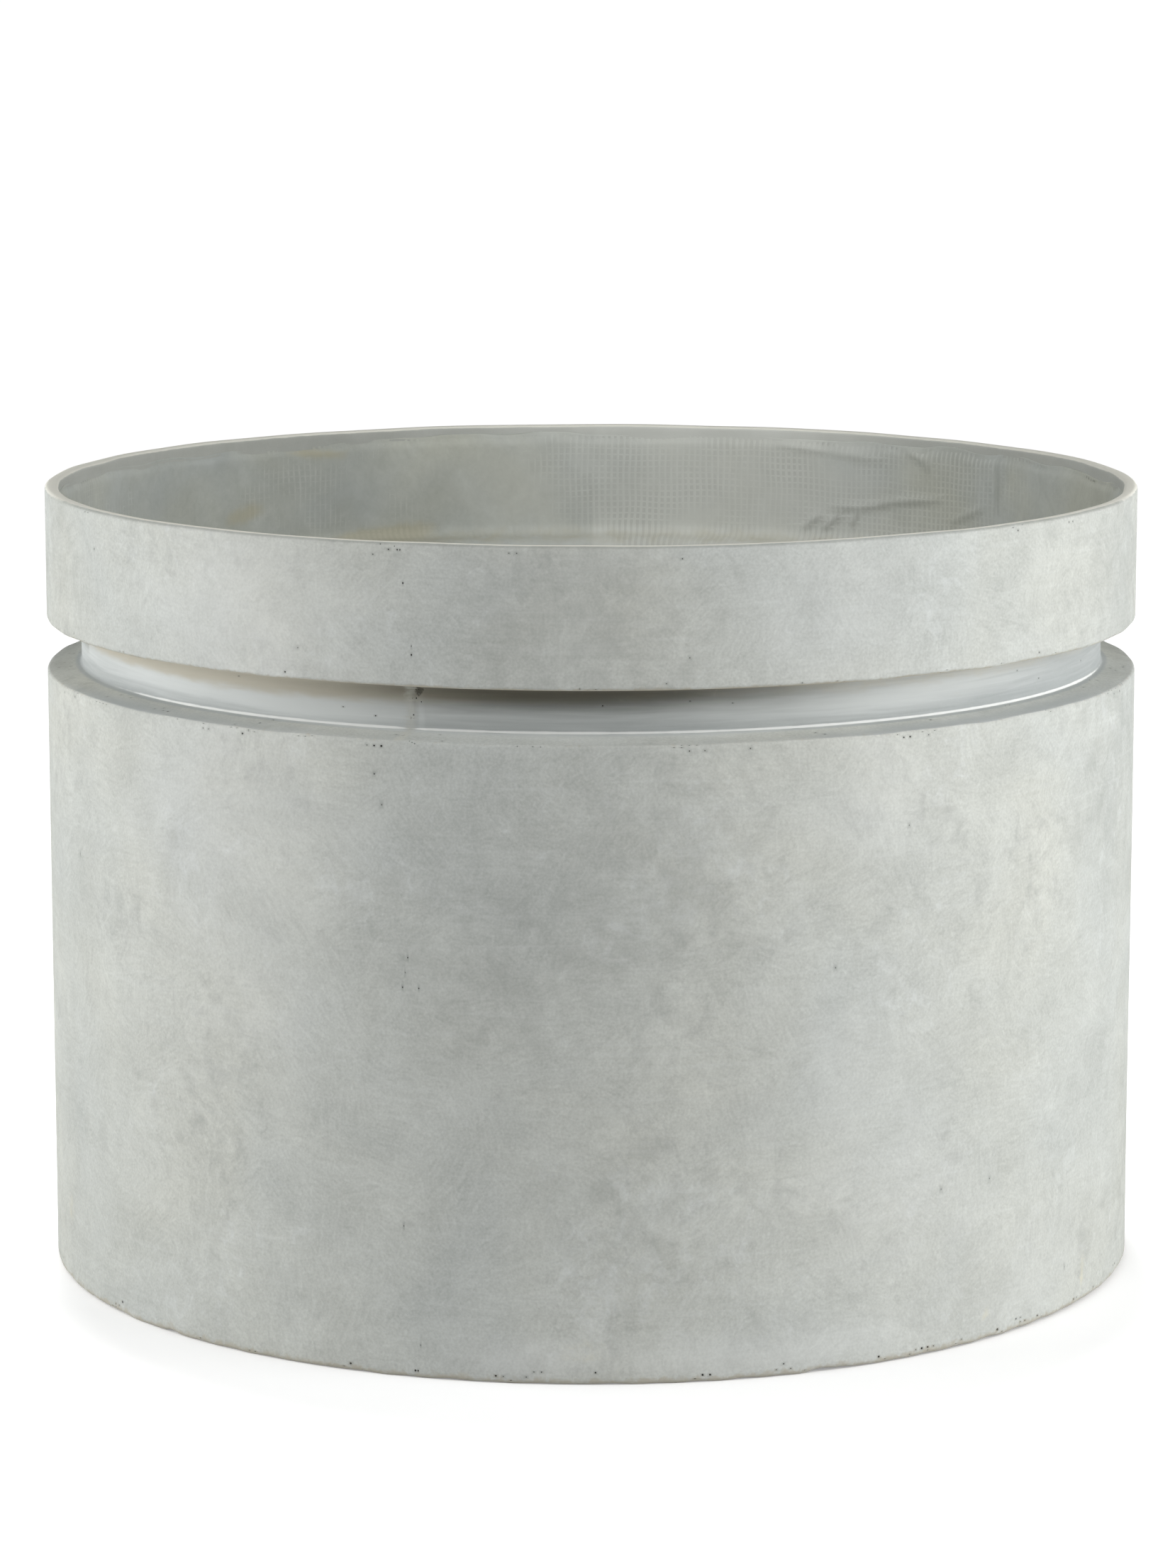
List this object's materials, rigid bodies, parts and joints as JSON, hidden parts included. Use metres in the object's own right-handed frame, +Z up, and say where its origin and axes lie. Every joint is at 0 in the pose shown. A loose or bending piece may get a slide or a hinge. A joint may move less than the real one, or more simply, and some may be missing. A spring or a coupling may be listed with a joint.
{
  "type": "round flower pot",
  "caption": "Round straight-sided cement floor planter with a tall rim band over a recessed groove, a mesh-lined hollow inside and a pull-out rubber drain plug.",
  "frame": {"origin": "centre of the circle that the pot stands on, at floor level", "axes": "+Z up along the pot's axis; -Y towards the side that the picture shows"},
  "size_m": [0.6599, 0.66, 0.473],
  "materials": {
    "cement": "cast fibre cement with a brushed pale grey wash, matt",
    "mesh_lay_up": "cement slurry over open glass mesh, matt, with the mesh printing through",
    "plug_rubber": "moulded black rubber, satin"
  },
  "bodies": {
    "pot": {"pot_shell": "cement", "wall_mesh_lining": "mesh_lay_up", "floor_mesh_lining": "mesh_lay_up"},
    "plug": {"drain_plug": "plug_rubber"}
  },
  "joints": [
    {"name": "plug_lift", "type": "slide", "parent": "pot", "child": "plug", "axis": [0, 0, 1], "range_m": [0, 0.48]}
  ]
}
